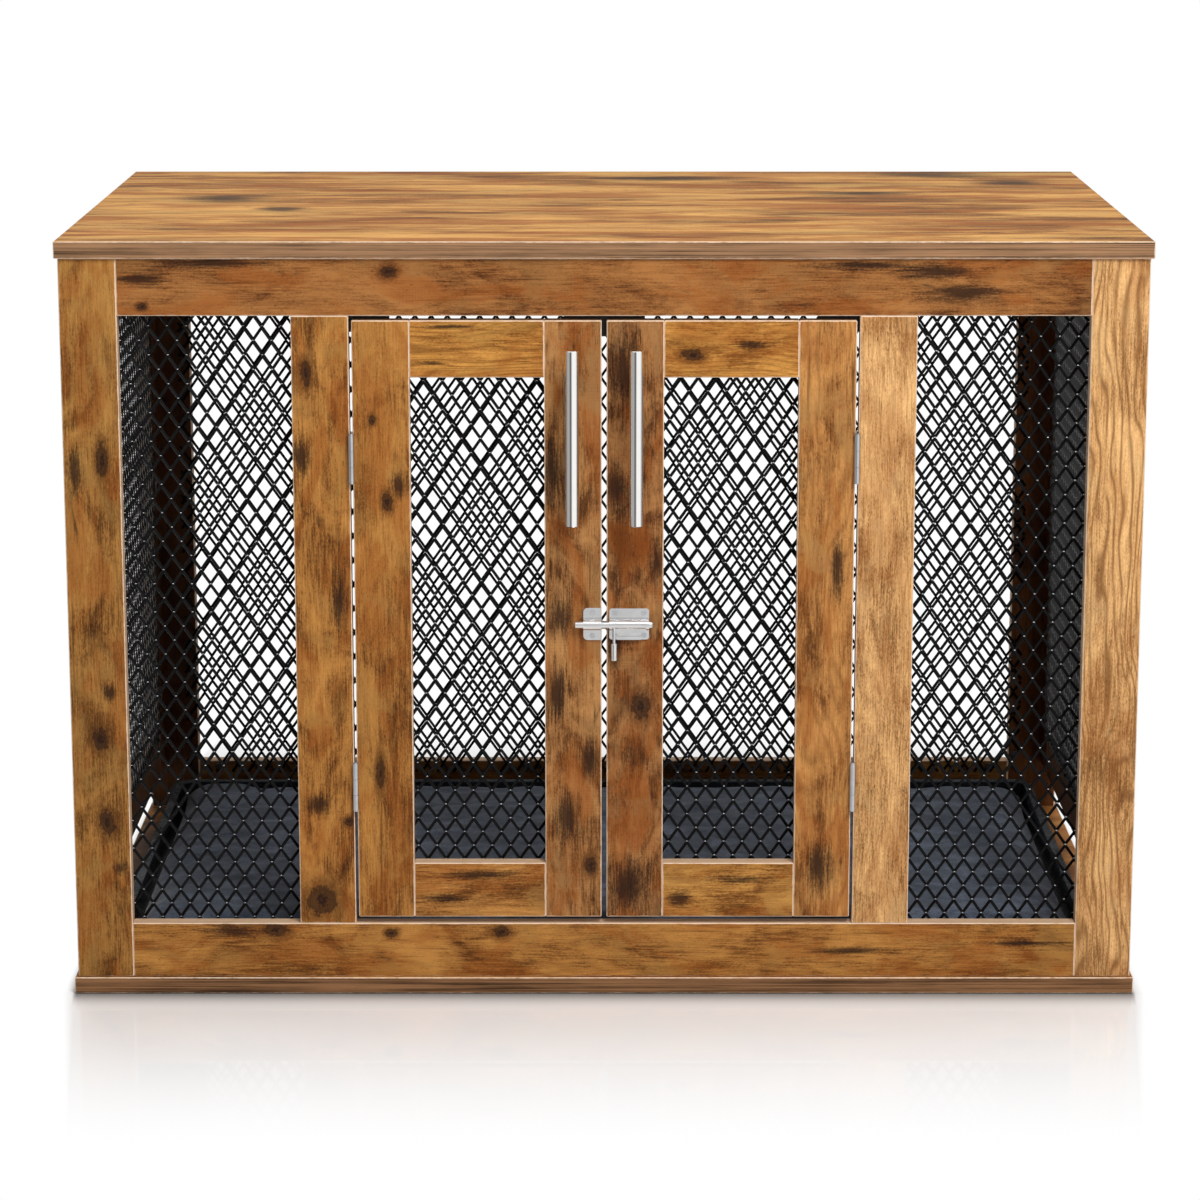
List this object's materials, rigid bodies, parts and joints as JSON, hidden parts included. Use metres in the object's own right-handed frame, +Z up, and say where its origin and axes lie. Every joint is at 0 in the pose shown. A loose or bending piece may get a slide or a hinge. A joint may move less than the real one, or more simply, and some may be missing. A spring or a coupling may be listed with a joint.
{
  "type": "dog crate end table",
  "caption": "End table with a wire-net pet cabin inside, two swinging front doors with bar handles and a sliding bolt, and a slide-out tray with a cushion.",
  "frame": {"origin": "centre of the base panel's underside, on the floor", "axes": "+X to the right along the table's width, +Y to the back, +Z up; the doors face -Y"},
  "size_m": [0.951, 0.632, 0.678],
  "materials": {
    "rustic_wood": "rustic brown wood-grain laminate, satin",
    "dowel_wood": "plain turned beech",
    "black_net": "black coated expanded metal, semi-gloss",
    "black_plate": "black painted plate",
    "zinc_fastener": "zinc-plated steel",
    "zinc_hinge": "zinc-plated steel",
    "satin_steel": "satin steel",
    "bright_chrome": "bright chrome",
    "black_plastic": "black plastic, fine texture",
    "charcoal_plush": "charcoal short plush"
  },
  "bodies": {
    "cabinet": {"back_bottom_rail": "rustic_wood", "back_left_post": "rustic_wood", "back_net": "black_net", "back_right_post": "rustic_wood", "back_top_rail": "rustic_wood", "base_panel": "rustic_wood", "base_screws": "zinc_fastener", "cam_fittings": "zinc_fastener", "door_stops": "black_plate", "frame_dowels": "dowel_wood", "frame_small_screws": "black_plate", "front_bottom_rail": "rustic_wood", "front_left_mid_stile": "rustic_wood", "front_left_net": "black_net", "front_left_post": "rustic_wood", "front_right_mid_stile": "rustic_wood", "front_right_net": "black_net", "front_right_post": "rustic_wood", "front_top_rail": "rustic_wood", "hinge_frame_leaves": "zinc_hinge", "hinge_pins": "zinc_hinge", "left_side_back_stile": "rustic_wood", "left_side_front_stile": "rustic_wood", "left_side_lower_rail": "rustic_wood", "left_side_net": "black_net", "left_side_top_rail": "rustic_wood", "right_side_back_stile": "rustic_wood", "right_side_front_stile": "rustic_wood", "right_side_lower_rail": "rustic_wood", "right_side_net": "black_net", "right_side_top_rail": "rustic_wood", "top_panel": "rustic_wood"},
    "left_door": {"bolt_keeper": "bright_chrome", "left_door_bottom_rail": "rustic_wood", "left_door_dowels": "dowel_wood", "left_door_handle": "satin_steel", "left_door_handle_screws": "zinc_fastener", "left_door_hinge_leaves": "zinc_hinge", "left_door_hinge_stile": "rustic_wood", "left_door_lock_stile": "rustic_wood", "left_door_net": "black_net", "left_door_net_screws": "black_plate", "left_door_sunk_screws": "zinc_fastener", "left_door_top_rail": "rustic_wood"},
    "right_door": {"bolt_housing": "bright_chrome", "right_door_bottom_rail": "rustic_wood", "right_door_dowels": "dowel_wood", "right_door_handle": "satin_steel", "right_door_handle_screws": "zinc_fastener", "right_door_hinge_leaves": "zinc_hinge", "right_door_hinge_stile": "rustic_wood", "right_door_lock_stile": "rustic_wood", "right_door_net": "black_net", "right_door_net_screws": "black_plate", "right_door_sunk_screws": "zinc_fastener", "right_door_top_rail": "rustic_wood"},
    "bolt": {"bolt": "bright_chrome"},
    "knob": {"bolt_knob": "bright_chrome"},
    "drawer_tray": {"tray": "black_plastic", "cushion": "charcoal_plush"}
  },
  "joints": [
    {"name": "left_door_hinge", "type": "hinge", "parent": "cabinet", "child": "left_door", "pos_m": [-0.2207, -0.2997, 0.34], "axis": [0, 0, -1], "range_deg": [0, 160]},
    {"name": "right_door_hinge", "type": "hinge", "parent": "cabinet", "child": "right_door", "pos_m": [0.2207, -0.2997, 0.34], "axis": [0, 0, 1], "range_deg": [0, 160]},
    {"name": "bolt_slide", "type": "slide", "parent": "right_door", "child": "bolt", "axis": [1, 0, 0], "range_m": [0, 0.025]},
    {"name": "knob_turn", "type": "hinge", "parent": "bolt", "child": "knob", "pos_m": [0.0088, -0.3019, 0.34], "axis": [-1, 0, 0], "range_deg": [0, 85]},
    {"name": "tray_slide", "type": "slide", "parent": "cabinet", "child": "drawer_tray", "axis": [1, 0, 0], "range_m": [0, 0.8]}
  ]
}
